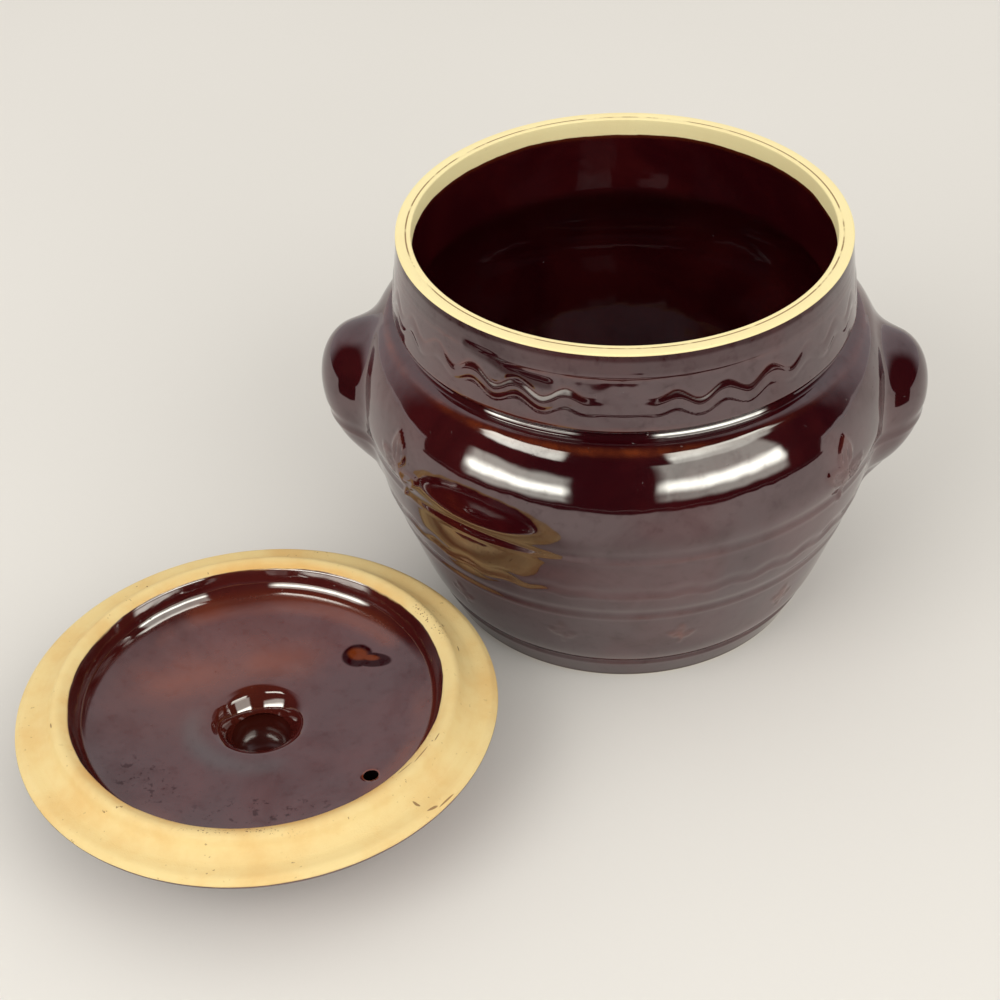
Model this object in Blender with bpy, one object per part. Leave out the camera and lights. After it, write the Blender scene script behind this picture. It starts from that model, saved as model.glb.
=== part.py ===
"""Bean pot of glazed stoneware: a turned pot with two lug handles and, standing upside down on its
hollow knob beside it, the domed lid.  The pot's axis is Z and the middle of its base is the origin."""

import bpy
import bmesh
from math import cos, hypot, pi, radians, sin, sqrt

# Sizes in millimetres, scaled to metres where a vertex is made
MM = 0.001
SIDES = 60

# Pot, outside, from the base up
POT_HEIGHT = 155.8
FOOT_R = 70.8
FOOT_ROUND = 0.8
FOOT_LINE_R = 75.2
FOOT_LINE_Z = 11.2
FOOT_LINE_DEEP = 0.5
FOOT_LINE_WIDE = 2.4
WAIST_R = 79.8
WAIST_Z = 20.0
LOW_RING_R = 88.2
LOW_RING_Z = 43.8
WAVE_R = 93.6
WAVE_Z = 60.0
HIGH_RING_R = 97.7
HIGH_RING_Z = 80.0
BELLY_R = 99.4
BELLY_Z = 90.0
SHOULDER_R = 97.4
SHOULDER_Z = 104.0
CROWN_R = 93.0
CROWN_Z = 114.0
LEDGE_R = 88.2
LEDGE_Z = 119.4
UNDERCUT_R = 83.0
UNDERCUT_Z = 123.3
COLLAR_R = 85.4
COLLAR_Z = 125.6
COLLAR_ROUND = 0.9
BAND_R = 83.1
BAND_TALL = 8.4
BAND_LINE_DEEP = 0.7
BAND_LINE_WIDE = 1.8

# Pot, wall and rim
RIM_R = 82.5
RIM_ROUND = 0.7
RIM_WALL = 5.7
RIM_INSIDE_ROUND = 0.5
POT_WALL = 7.4
POT_FLOOR = 9.0
FLOOR_FILLET = 9.0

# Lug handles: leaning lobes that run into the wall
LUG_MID_R = 92.0
LUG_MID_Z = 80.5
LUG_LONG = 30.7
LUG_DEEP = 20.6
LUG_HALF_WIDTH = 25.0
LUG_LEAN = radians(66.5)
LUG_BLEND = 8.0
LUG_EDGE = 1.4
LUG_GAP = 0.4
LUG_RAYS = 32
LUG_RINGS = 8
LUG_SEARCH = 48.0
RIGHT_LUG_RISE = -1.9
LEFT_LUG_RISE = 1.8

# Lid, measured upward from the end of its knob as it stands upside down
LID_X = -128.9
LID_Y = -121.9
LID_OVERHANG = 3.0
LID_PLAY = 3.0
LID_WALL = 6.5
EDGE_THICK = 4.6
EDGE_WIDEST_DOWN = 2.1
EDGE_ROUND_OUTSIDE = 1.6
EDGE_ROUND_SEAT = 2.2
DOME_RISE = 10.9
DOME_FLAT_R = 24.0
DOME_START_R = 27.0
DOME_POWER = 2.4
DOME_SPANS = 6

# Lid, the ring that locates it in the mouth and the dish inside that ring
RING_TALL = 6.6
RING_FILLET = 4.4
RING_SIDE_DOWN = 4.3
RING_SHOULDER_IN = 1.9
RING_SHOULDER_DOWN = 0.7
RING_CREST_IN = 4.2
DISH_LIP_R = 66.1
DISH_LIP_DOWN = 1.65
DISH_WALL_IN_AND_DOWN = ((1.6, 3.6), (3.6, 8.2))
DISH_FLOOR_R = 58.0

# Lid, its hollow knob and the steam hole
KNOB_TALL = 18.7
KNOB_END_R = 15.0
KNOB_SWELL_R = 18.8
KNOB_SWELL_Z = 3.4
KNOB_R = 20.0
KNOB_WIDEST_Z = 8.2
KNOB_NECK_R = 18.0
KNOB_FILLET = 3.0
KNOB_END_WALL = 5.2
HOLLOW_R = 13.4
HOLLOW_ROUND = 9.5
HOLLOW_STEPS = 4
FUNNEL_R = 18.0
FUNNEL_IN_AND_DOWN = ((2.9, 1.4), (5.6, 4.4))
THROAT_R = 10.6
THROAT_DOWN = 7.6
STEAM_HOLE_R = 2.65
STEAM_HOLE_AT = 51.5
STEAM_HOLE_TURN = radians(-34)
STEAM_HOLE_SIDES = 24


def clear_scene():
    """Remove whatever the new file holds."""
    for item in list(bpy.data.objects):
        bpy.data.objects.remove(item, do_unlink=True)


def material(name, colour, roughness):
    """Plain glaze or clay colour for one piece."""
    made = bpy.data.materials.new(name)
    made.use_nodes = True
    shader = made.node_tree.nodes["Principled BSDF"]
    shader.inputs["Base Color"].default_value = (*colour, 1.0)
    shader.inputs["Roughness"].default_value = roughness
    shader.inputs["Metallic"].default_value = 0.0
    return made


def add_object(name, shape, place, look):
    """Turn a bmesh into a named object, faces pointing out and round stretches shaded smooth."""
    bmesh.ops.recalc_face_normals(shape, faces=shape.faces)
    mesh = bpy.data.meshes.new(name)
    shape.to_mesh(mesh)
    shape.free()
    mesh.shade_smooth()
    mesh.set_sharp_from_angle(angle=radians(35))
    mesh.materials.append(look)
    made = bpy.data.objects.new(name, mesh)
    made.location = [value * MM for value in place]
    bpy.context.scene.collection.objects.link(made)
    return made


def curve(knots, steps):
    """Smooth curve through the knots, a Catmull-Rom spline with this many steps for each span."""
    padded = [knots[0]] + list(knots) + [knots[-1]]
    points = []
    for before, start, end, after in zip(padded, padded[1:], padded[2:], padded[3:]):
        for step in range(steps):
            t = step / steps
            weights = (
                -0.5 * t + t * t - 0.5 * t ** 3,
                1.0 - 2.5 * t * t + 1.5 * t ** 3,
                0.5 * t + 2.0 * t * t - 1.5 * t ** 3,
                -0.5 * t * t + 0.5 * t ** 3,
            )
            four = (before, start, end, after)
            points.append(tuple(sum(w * p[axis] for w, p in zip(weights, four)) for axis in (0, 1)))
    return points + [tuple(knots[-1])]


def inset(knots, depth):
    """The inner knots moved square to the outline, toward the axis side of an outline that runs up."""
    moved = []
    for before, here, after in zip(knots, knots[1:], knots[2:]):
        run = (after[0] - before[0], after[1] - before[1])
        length = hypot(*run)
        moved.append((here[0] - depth * run[1] / length, here[1] + depth * run[0] / length))
    return moved


def turned(outline):
    """Solid of revolution about Z from an outline that starts and ends on the axis."""
    shape = bmesh.new()
    rim = [shape.verts.new((r * MM, 0.0, z * MM)) for r, z in outline]
    edges = [shape.edges.new(pair) for pair in zip(rim, rim[1:])]
    bmesh.ops.spin(shape, geom=rim + edges, cent=(0, 0, 0), axis=(0, 0, 1), angle=2 * pi, steps=SIDES)
    bmesh.ops.remove_doubles(shape, verts=shape.verts, dist=0.00001)
    return shape


def body_knots():
    """Outside of the body between the line over the foot and the ledge under the collar."""
    return [
        (FOOT_LINE_R + FOOT_LINE_DEEP, FOOT_LINE_Z + FOOT_LINE_WIDE / 2),
        (WAIST_R, WAIST_Z),
        (LOW_RING_R, LOW_RING_Z),
        (WAVE_R, WAVE_Z),
        (HIGH_RING_R, HIGH_RING_Z),
        (BELLY_R, BELLY_Z),
        (SHOULDER_R, SHOULDER_Z),
        (CROWN_R, CROWN_Z),
        (LEDGE_R, LEDGE_Z),
    ]


def pot_outside():
    """Outline from the middle of the base, up the outside and onto the flat rim."""
    foot = [
        (0.0, 0.0),
        (FOOT_R - FOOT_ROUND, 0.0),
        (FOOT_R, FOOT_ROUND),
        (FOOT_LINE_R, FOOT_LINE_Z - FOOT_LINE_WIDE / 2),
        (FOOT_LINE_R - FOOT_LINE_DEEP, FOOT_LINE_Z),
    ]
    line_z = POT_HEIGHT - BAND_TALL
    collar = [
        (UNDERCUT_R, UNDERCUT_Z),
        (COLLAR_R - COLLAR_ROUND, COLLAR_Z),
        (COLLAR_R, COLLAR_Z + COLLAR_ROUND),
        (BAND_R, line_z - BAND_LINE_WIDE / 2),
        (BAND_R - BAND_LINE_DEEP, line_z),
        (BAND_R, line_z + BAND_LINE_WIDE / 2),
        (RIM_R, POT_HEIGHT - RIM_ROUND),
        (RIM_R - RIM_ROUND, POT_HEIGHT),
    ]
    return foot + WALL_OUTSIDE + collar


def pot_inside():
    """Outline from the flat rim down the inside to the middle of the floor."""
    mouth_r = RIM_R - RIM_WALL
    wall = inset(body_knots(), POT_WALL)
    floor_r = wall[0][0] - FLOOR_FILLET
    neck = [(mouth_r, UNDERCUT_Z)] + wall[::-1] + [(floor_r, POT_FLOOR)]
    return [
        (mouth_r + RIM_INSIDE_ROUND, POT_HEIGHT),
        (mouth_r, POT_HEIGHT - RIM_INSIDE_ROUND),
        *curve(neck, 2),
        (0.0, POT_FLOOR),
    ]


def wall_radius(z):
    """Radius of the pot's outside at a height between the foot and the ledge."""
    for low, high in zip(WALL_OUTSIDE, WALL_OUTSIDE[1:]):
        if low[1] <= z <= high[1]:
            share = (z - low[1]) / (high[1] - low[1])
            return low[0] + share * (high[0] - low[0])
    return LEDGE_R


def lobe_distance(r, turn, up):
    """About how far a point lies outside the lug's leaning lobe, whose middle is at height 0."""
    out = r * cos(turn) - LUG_MID_R
    along = out * cos(LUG_LEAN) + up * sin(LUG_LEAN)
    across = -out * sin(LUG_LEAN) + up * cos(LUG_LEAN)
    point = (along, r * sin(turn), across)
    size = (LUG_LONG, LUG_HALF_WIDTH, LUG_DEEP)
    ratio = sqrt(sum((p / s) ** 2 for p, s in zip(point, size)))
    slope = sqrt(sum((p / s ** 2) ** 2 for p, s in zip(point, size)))
    return ratio * (ratio - 1.0) / slope


def lug_radius(turn, z, mid_z):
    """Radius of the surface where the lobe flows into the wall, found by halving."""
    wall = wall_radius(z)
    near = wall
    far = LUG_MID_R + LUG_LONG + LUG_BLEND
    for _ in range(24):
        middle = (near + far) / 2
        to_wall = middle - wall
        to_lobe = lobe_distance(middle, turn, z - mid_z)
        mixed = max(LUG_BLEND - abs(to_wall - to_lobe), 0.0) / LUG_BLEND
        if min(to_wall, to_lobe) - mixed * mixed * LUG_BLEND / 4 > 0:
            far = middle
        else:
            near = middle
    return near


def lug_spot(reach, ray, mid_z):
    """Turn and height of the spot this far from the lug's middle in one direction on the wall."""
    return reach * cos(ray) / BELLY_R, mid_z + reach * sin(ray)


def lug_border(ray, mid_z):
    """How far the lug runs in one direction before it is as thin as its edge."""
    near = 0.0
    far = LUG_SEARCH
    for _ in range(20):
        middle = (near + far) / 2
        turn, z = lug_spot(middle, ray, mid_z)
        if z < LEDGE_Z and lug_radius(turn, z, mid_z) - wall_radius(z) > LUG_EDGE:
            near = middle
        else:
            far = middle
    return near


def lug_skin(shape, rays, borders, mid_z, against_wall):
    """Middle vertex and rings of vertices of a lug's outer skin, or of its skin against the wall."""

    def spot(reach, ray):
        turn, z = lug_spot(reach, ray, mid_z)
        if against_wall:
            lean = wall_radius(z + 1.0) - wall_radius(z - 1.0)
            r = wall_radius(z) + LUG_GAP * 2.0 / hypot(2.0, lean)
            z -= LUG_GAP * lean / hypot(2.0, lean)
        else:
            r = lug_radius(turn, z, mid_z)
        return shape.verts.new((r * cos(turn) * MM, r * sin(turn) * MM, z * MM))

    shares = [ring / LUG_RINGS for ring in range(1, LUG_RINGS + 1)]
    rings = [[spot(border * share, ray) for border, ray in zip(borders, rays)] for share in shares]
    centre = spot(0.0, 0.0)
    for index in range(LUG_RAYS):
        after = (index + 1) % LUG_RAYS
        shape.faces.new((centre, rings[0][index], rings[0][after]))
        for inner, outer in zip(rings, rings[1:]):
            shape.faces.new((inner[index], outer[index], outer[after], inner[after]))
    return rings[-1]


def lug_shape(mid_z):
    """One lug facing +X: its outer skin, its skin against the wall, and the edge between."""
    shape = bmesh.new()
    rays = [2 * pi * index / LUG_RAYS for index in range(LUG_RAYS)]
    borders = [lug_border(ray, mid_z) for ray in rays]
    outer = lug_skin(shape, rays, borders, mid_z, against_wall=False)
    inner = lug_skin(shape, rays, borders, mid_z, against_wall=True)
    for index in range(LUG_RAYS):
        after = (index + 1) % LUG_RAYS
        shape.faces.new((outer[index], inner[index], inner[after], outer[after]))
    return shape


# Outside of the wall that the lugs sit on, and lid sizes that follow from the pot's
WALL_OUTSIDE = curve(body_knots(), 3)
LID_R = RIM_R + LID_OVERHANG
RING_R = RIM_R - RIM_WALL - LID_PLAY
SEAT_Z = KNOB_TALL + DOME_RISE + EDGE_THICK
RING_TOP_Z = SEAT_Z + RING_TALL
LIP_Z = RING_TOP_Z - DISH_LIP_DOWN


def dome(r):
    """Height of the lid's outside, which faces down here, between its knob and its edge."""
    run = LID_R - EDGE_ROUND_OUTSIDE - DOME_FLAT_R
    share = max(r - DOME_FLAT_R, 0.0) / run
    return KNOB_TALL + DOME_RISE * share ** DOME_POWER


def knob_outside():
    """Outline from the middle of the knob's end, over its bulge and into the dome."""
    return [(0.0, 0.0)] + curve([
        (KNOB_END_R, 0.0),
        (KNOB_SWELL_R, KNOB_SWELL_Z),
        (KNOB_R, KNOB_WIDEST_Z),
        (KNOB_NECK_R, KNOB_TALL - KNOB_FILLET),
        (KNOB_NECK_R + KNOB_FILLET, KNOB_TALL),
        (DOME_START_R, dome(DOME_START_R)),
    ], 2)


def lid_edge():
    """Outline along the dome, round the edge and onto the flat face that seats on the rim."""
    dome_end = LID_R - EDGE_ROUND_OUTSIDE
    step = (dome_end - DOME_START_R) / DOME_SPANS
    along = [DOME_START_R + step * count for count in range(1, DOME_SPANS)]
    return [(r, dome(r)) for r in along] + curve([
        (dome_end, dome(dome_end)),
        (LID_R, SEAT_Z - EDGE_WIDEST_DOWN),
        (LID_R - EDGE_ROUND_SEAT, SEAT_Z),
    ], 3)


def locating_ring():
    """Outline over the rounded ring that drops inside the pot's mouth."""
    return curve([
        (RING_R + RING_FILLET, SEAT_Z),
        (RING_R, RING_TOP_Z - RING_SIDE_DOWN),
        (RING_R - RING_SHOULDER_IN, RING_TOP_Z - RING_SHOULDER_DOWN),
        (RING_R - RING_CREST_IN, RING_TOP_Z),
        (DISH_LIP_R, LIP_Z),
    ], 2)


def dish():
    """Outline down the dish's wall from its lip and over its floor."""
    floor_edge = (DISH_FLOOR_R, dome(DISH_FLOOR_R) + LID_WALL)
    wall = curve([
        (DISH_LIP_R, LIP_Z),
        *((DISH_LIP_R - inward, LIP_Z - down) for inward, down in DISH_WALL_IN_AND_DOWN),
        floor_edge,
    ], 2)
    middle_r = (DISH_FLOOR_R + FUNNEL_R) / 2
    return wall[1:] + [(middle_r, dome(middle_r) + LID_WALL)]


def knob_hollow():
    """Outline from the dish's floor down the funnel to its throat, and the wider hollow below."""
    floor_z = KNOB_TALL + LID_WALL
    funnel = curve([
        (FUNNEL_R, floor_z),
        *((FUNNEL_R - inward, floor_z - down) for inward, down in FUNNEL_IN_AND_DOWN),
        (THROAT_R, floor_z - THROAT_DOWN),
    ], 2)
    angles = [pi / 2 * step / HOLLOW_STEPS for step in range(HOLLOW_STEPS)]
    bottom = [(HOLLOW_R * cos(a), KNOB_END_WALL + HOLLOW_ROUND * (1.0 - sin(a))) for a in angles]
    return funnel + bottom + [(0.0, KNOB_END_WALL)]


def steam_hole_cutter():
    """Upright rod, longer than the lid is thick, where the steam hole goes."""
    shape = bmesh.new()
    bmesh.ops.create_cone(shape, cap_ends=True, segments=STEAM_HOLE_SIDES, radius1=STEAM_HOLE_R * MM,
                          radius2=STEAM_HOLE_R * MM, depth=4 * LID_WALL * MM)
    hole_x = STEAM_HOLE_AT * cos(STEAM_HOLE_TURN)
    hole_y = STEAM_HOLE_AT * sin(STEAM_HOLE_TURN)
    cutter = add_object("steam_hole_cutter", shape, (hole_x, hole_y, dome(STEAM_HOLE_AT) + LID_WALL / 2),
                        material("cutter", (0.5, 0.5, 0.5), 0.5))
    cutter.hide_render = True
    cutter.display_type = "WIRE"
    return cutter


def make_pot():
    """The turned pot in one piece: foot, belly, shoulder, ledge, collar and rim."""
    outline = pot_outside() + pot_inside()
    glaze = material("brown_glaze", (0.055, 0.014, 0.010), 0.08)
    return add_object("pot_body", turned(outline), (0, 0, 0), glaze)


def make_lugs(pot):
    """The two lug handles, opposite each other, one a little higher than the other."""
    for name, turn, rise in (("right_lug", 0.0, RIGHT_LUG_RISE), ("left_lug", pi, LEFT_LUG_RISE)):
        glaze = material(name + "_glaze", (0.060, 0.018, 0.013), 0.08)
        lug = add_object(name, lug_shape(LUG_MID_Z + rise), (0, 0, 0), glaze)
        lug.rotation_euler = (0, 0, turn)
        lug.parent = pot


def make_lid():
    """The lid in one piece with its hollow knob, upside down on the knob's flat end."""
    outline = knob_outside() + lid_edge() + locating_ring() + dish() + knob_hollow()
    clay = material("lid_glaze", (0.075, 0.020, 0.012), 0.10)
    lid = add_object("lid", turned(outline), (LID_X, LID_Y, 0), clay)
    cutter = steam_hole_cutter()
    cutter.parent = lid
    hole = lid.modifiers.new("steam_hole", "BOOLEAN")
    hole.operation = "DIFFERENCE"
    hole.solver = "EXACT"
    hole.object = cutter
    return lid


clear_scene()
make_lugs(make_pot())
make_lid()
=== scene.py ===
"""Looks of a glazed stoneware bean pot and its lid, which stands upside down on its knob beside it.
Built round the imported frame: the pot's axis is Z, the middle of its base is the origin."""

from math import cos, hypot, pi, radians, sin

import bmesh
import bpy
import numpy as np
from mathutils import Matrix, Vector


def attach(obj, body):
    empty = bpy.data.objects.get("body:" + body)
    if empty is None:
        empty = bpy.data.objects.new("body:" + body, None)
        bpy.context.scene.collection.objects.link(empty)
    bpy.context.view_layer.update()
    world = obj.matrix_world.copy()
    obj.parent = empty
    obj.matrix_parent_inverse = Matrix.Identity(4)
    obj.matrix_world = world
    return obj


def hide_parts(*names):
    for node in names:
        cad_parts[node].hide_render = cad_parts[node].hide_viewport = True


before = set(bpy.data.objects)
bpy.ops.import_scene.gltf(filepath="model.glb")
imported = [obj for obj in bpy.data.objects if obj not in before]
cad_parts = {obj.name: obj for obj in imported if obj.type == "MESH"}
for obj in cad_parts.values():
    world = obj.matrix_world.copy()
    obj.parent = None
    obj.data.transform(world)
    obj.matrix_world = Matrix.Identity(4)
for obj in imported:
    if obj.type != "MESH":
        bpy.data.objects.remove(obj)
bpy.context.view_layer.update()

# Sizes in millimetres, scaled to metres where a vertex is made
MM = 0.001

# Pot, outside, from the base up
POT_HEIGHT = 155.8
FOOT_R = 70.8
FOOT_ROUND = 0.8
FOOT_LINE_R = 75.2
FOOT_LINE_Z = 11.2
FOOT_LINE_DEEP = 0.5
FOOT_LINE_WIDE = 2.4
FOOT_LINE_SHARES = ((-0.20, -0.25), (-0.25, 0.0), (0.20, 0.25))
LEDGE_R = 88.2
LEDGE_Z = 119.4
# Radius and height from the line over the foot to the ledge under the collar, by way of the waist,
# the lower rings, the wave, the upper rings, the belly, the shoulder and the crown
BODY_KNOTS = (
    (FOOT_LINE_R + FOOT_LINE_DEEP, FOOT_LINE_Z + FOOT_LINE_WIDE / 2),
    (79.8, 20.0), (88.2, 43.8), (93.6, 60.0), (97.7, 80.0), (99.4, 90.0), (97.4, 104.0), (93.0, 114.0),
    (LEDGE_R, LEDGE_Z),
)
UNDERCUT_R = 83.0
UNDERCUT_Z = 123.3
LEDGE_R_AND_SAG = ((LEDGE_R - 1.5, 0.22), (LEDGE_R - 3.2, 0.85), (UNDERCUT_R + 0.8, 1.15))
COLLAR_R = 85.4
COLLAR_Z = 125.6
COLLAR_ROUND = 0.9
COLLAR_EDGE_IN_AND_UP = ((1.17, -0.5), (0.18, 0.09))
BAND_R = 83.1
BAND_TALL = 8.4
BAND_LINE_DEEP = 0.7
BAND_LINE_WIDE = 1.8
BAND_LINE_SHARES = ((0.0, -1.0), (0.10, 0.2), (0.30, 1.8), (0.38, 3.0))
RIM_R = 82.5
RIM_ROUND = 0.7
RIM_WALL = 5.7
RIM_INSIDE_ROUND = 0.5
POT_WALL = 7.4
POT_FLOOR = 9.0
FLOOR_FILLET = 9.0
RIM_LINE_IN = 1.9
RIM_LINE_DEEP = 0.16
RIM_LINE_SHARES = ((0.5, 0.0), (0.15, 0.6), (0.0, 1.0), (-0.15, 0.6), (-0.5, 0.0))

# Lug handles: leaning lobes that run into the wall
LUG_MID_R = 92.0
LUG_MID_Z = 80.5
LUG_LONG = 30.7
LUG_DEEP = 20.6
LUG_HALF_WIDTH = 25.0
LUG_LEAN = radians(66.5)
LUG_BLEND = 8.0
LUG_SKIN = 0.3
HALVINGS = 30
RIGHT_LUG_RISE = -1.9
LEFT_LUG_RISE = 1.8

# Lid, measured upward from the end of its knob as it stands upside down
LID_X = -128.9
LID_Y = -121.9
LID_OVERHANG = 3.0
LID_PLAY = 3.0
LID_WALL = 6.5
EDGE_THICK = 4.6
EDGE_WIDEST_DOWN = 2.1
EDGE_ROUND_OUTSIDE = 1.6
EDGE_ROUND_SEAT = 2.2
DOME_RISE = 10.9
DOME_FLAT_R = 24.0
DOME_START_R = 27.0
DOME_POWER = 2.4
RING_TALL = 6.6
RING_FILLET = 4.4
RING_IN_AND_DOWN = ((0.0, 4.3), (1.9, 0.7), (4.2, 0.0))
DISH_LIP_R = 66.1
DISH_LIP_DOWN = 1.65
DISH_EASE_IN_AND_DOWN = ((1.1, 4.0), (2.6, 7.4), (5.0, 9.8), (8.2, 11.0))
DISH_FLAT_R = 54.0
KNOB_TALL = 18.7
KNOB_KNOTS = ((15.0, 0.0), (18.8, 3.4), (20.0, 8.2), (18.0, KNOB_TALL - 3.0), (21.0, KNOB_TALL))
KNOB_END_WALL = 5.2
HOLLOW_R = 13.4
HOLLOW_ROUND = 9.5
FUNNEL_R = 18.0
FUNNEL_IN_AND_DOWN = ((2.9, 1.4), (5.6, 4.4))
THROAT_R = 10.6
THROAT_DOWN = 7.6
STEAM_HOLE_R = 2.65
STEAM_HOLE_AT = 51.5
STEAM_HOLE_TURN = radians(-34)
STEAM_HOLE_LIP = 1.6
STEAM_HOLE_LIP_DOWN = 0.5
STEAM_HOLE_PLACE = (STEAM_HOLE_AT * cos(STEAM_HOLE_TURN), STEAM_HOLE_AT * sin(STEAM_HOLE_TURN))

# Worked out from these sizes
BAND_LINE_Z = POT_HEIGHT - BAND_TALL
MOUTH_R = RIM_R - RIM_WALL
LID_R = RIM_R + LID_OVERHANG
RING_R = MOUTH_R - LID_PLAY
SEAT_Z = KNOB_TALL + DOME_RISE + EDGE_THICK
RING_TOP_Z = SEAT_Z + RING_TALL
LIP_Z = RING_TOP_Z - DISH_LIP_DOWN
LID_FLOOR_Z = KNOB_TALL + LID_WALL

# Finer outlines and meshes than the solids have
FINE_STEPS = 24
ARC_STEPS = 5
WALL_SIDES = 600
WALL_GAP = 1.1
COLLAR_SIDES = 780
COLLAR_GAP = 0.68
INSIDE_GAP = 5.5
HIDDEN_GAP = 12.0
HIDDEN_SPLIT = 0.1
LID_SIDES = 480
LID_GAP = 1.35
LEAST_GAP = 0.05
MERGE_WITHIN = 1e-6
HOLE_SIDES = 48
SHARP_FROM = radians(50)

# Relief lines: half width and height in millimetres, and how much thinner the glaze is on them
BODY_WAVES = 35
BODY_CREST_TURN = radians(-75.5)
BODY_SWING = 0.9
BODY_WAVE_LINES = (
    (60.6, (4.0, -0.40, 0.0)),
    (57.8, (1.7, 0.30, 0.08)),
)
BODY_RING_LINES = (
    ((47.0, 80.2), (4.0, -0.40, 0.0)),
    ((44.2, 77.4), (1.7, 0.30, 0.14)),
    ((9.6, 13.6), (1.6, 0.08, 0.20)),
)
LEDGE_LINE = (2.6, 0.0, 0.50)
DISH_LIP_LINE = (2.0, 0.0, 0.10)
WAVE_STEPS = 720
RING_STEPS = 360

# Waves on the collar: height, swing, and how far they leave the wall at the seams, then the line
COLLAR_WAVES = 29
COLLAR_CREST_TURN = radians(-78)
COLLAR_WAVE_LINES = (
    (135.9, 2.1, 2.6, (3.2, 0.18, 0.05)),
    (133.0, 1.75, 0.5, (1.15, -0.13, 0.0)),
    (139.4, 2.4, 1.1, (1.3, -0.10, 0.22)),
)
COLLAR_RING_LINES = (
    (COLLAR_Z + COLLAR_ROUND, (1.4, 0.0, 0.25)),
    (POT_HEIGHT - BAND_TALL - 1.4, (1.1, 0.05, 0.20)),
)

# Seams of the mould, front and back, where the waves are worn flat
FRONT_SEAM = radians(-90)
SEAM_CALM = radians(4)
SEAM_WAKE = radians(15)
BODY_SEAM_ZS = range(15, 118, 3)
BODY_SEAM_LINE = (1.4, 0.025, 0.0)
COLLAR_SEAM_ZS = range(127, 147, 2)
COLLAR_SEAM_LINE = (1.2, 0.02, 0.0)

# Run of thicker glaze on the collar: turns in degrees and heights
GLAZE_RUN = ((-130, 147.0), (-124, 146.0), (-118, 143.6), (-112, 142.2), (-108, 141.8))
GLAZE_RUN_LINE = (3.6, 0.15, -0.60)

# Leaf sprigs, large ones and buds: turns in degrees, height, size and line
SPRIGS = (
    ((-37, -144, 37, 144), 89.0, 25.0, (1.45, 0.75, 0.75)),
    (range(-75, 285, 30), 30.5, 11.0, (1.1, 0.36, 0.45)),
)
# Shares of a sprig's size: stem's start, length and sway, and for each leaf its height on the stem,
# lean in degrees, length and half width
STEM_DOWN = 0.5
STEM_LONG = 0.62
STEM_SWAY = 0.06
SPRIG_LEAVES = ((0.10, 92, 0.52, 0.13), (-0.18, 28, 0.50, 0.12), (-0.08, 150, 0.50, 0.12))
LEAF_STEPS = 14
LEAF_POWER = 0.8
MIDRIB_LONG = 0.8

# Colours
GLAZE_DARK = (0.02, 0.001, 0.0024)
GLAZE_RED = (0.043, 0.0036, 0.0044)
GLAZE_AMBER = (0.23, 0.045, 0.009)
GLAZE_SCUM = (0.055, 0.06, 0.06)
LID_DEEP = (0.042, 0.005, 0.005)
LID_LIGHT = (0.07, 0.01, 0.0085)
CLAY_PALE = (0.76, 0.585, 0.265)
CLAY_LIGHT = (0.93, 0.83, 0.46)
CLAY_WARM = (0.705, 0.465, 0.175)
CLAY_STAIN = (0.22, 0.11, 0.04)
CLAY_ORANGE = (0.7, 0.38, 0.1)
# Near-black painted shade for the inside of the steam hole
HOLE_PAINTED_SHADE = (0.004, 0.002, 0.002)
TABLE_TONES = ((0.7, 0.675, 0.635), (0.78, 0.755, 0.72))

# Gloss and roughness
GLAZE_IOR = 2.06
GLOSS_TINT = (1.0, 0.89, 0.93)
FULL_SPECULAR = 0.5
GLAZE_ROUGH = 0.035
GLAZE_ROUGH_SWING = 0.04
GLAZE_ROUGHER = 0.35
CLAY_ROUGH = 0.78
CLAY_DULL = 0.70
POOL_FULL = -0.5
# The run's darker colour is thick glaze; cutting its gloss paints a dark reflection
POOL_PAINTED_REFLECTION = 0.6
TABLE_ROUGH = 0.85
TABLE_SPECULAR = 0.2

# Noise: scale, detail, roughness, distortion; before them the swing where it makes an edge wander
GLOSS_NOISE = (90.0, 3.0)
SWIM_NOISE = (60.0, 2.0)
SWIM_TALL = 0.22
GRIT_NOISE = (1500.0, 3.0)
GRIT_TALL = 0.10
TABLE_CLOUDS = 2.2
BAND_WANDER = (2.2 * MM, 45.0, 3.0)
LIP_WANDER = (1.6 * MM, 45.0, 3.0)
MARKS_WANDER = (1.5, 26.0, 4.0, 0.55)

# Noise made into patches: where they start and are full, how much they count, then the noise
THIN_BREAKS = (0.36, 0.70, 0.60, 150.0, 4.0, 0.6)
THIN_BREAKS_LEAST = 0.4
THIN_DRIFTS = (0.40, 0.66, 0.80, 14.0, 3.0, 0.5, 0.4)
THIN_DRIFTS_LEAST = 0.2
MOTTLE_LARGE = (0.42, 0.74, 0.30, 34.0, 5.0, 0.62, 0.5)
MOTTLE_FINE = (0.50, 0.80, 0.22, 260.0, 3.0, 0.6)
PITS = (0.79, 0.83, -0.10 * MM, 640.0, 1.0)
GLAZE_DRIFT = (0.35, 0.72, 1.0, 22.0, 5.0, 0.6, 0.6)
CLAY_CLOUDS = (0.35, 0.75, 1.0, 40.0, 4.0, 0.6)
CLAY_RINGS = (0.50, 0.80, 0.22, 900.0, 2.0)
CLAY_SPECKS = (0.67, 0.73, 0.90, 520.0, 2.0, 0.6)
CLAY_SPECKED = (0.45, 0.70, 1.0, 55.0, 2.0)
RIM_CLAY_LIGHT = 0.75
RIM_LINE_BREAKS = (0.36, 0.50, 1.0, 60.0, 4.0, 0.6)
WALL_CLOUDS = (0.48, 0.66, 0.52, 17.0, 3.0, 0.5, 0.5)
FLECK_GRAIN = (0.57, 0.63, 1.0, 330.0, 4.0, 0.7)
STAIN_PATCHES = (0.35, 0.65, 0.65, 20.0, 4.0, 0.6)
DIRT_GRAIN = (0.62, 0.68, 1.0, 1100.0, 1.0)

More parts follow.
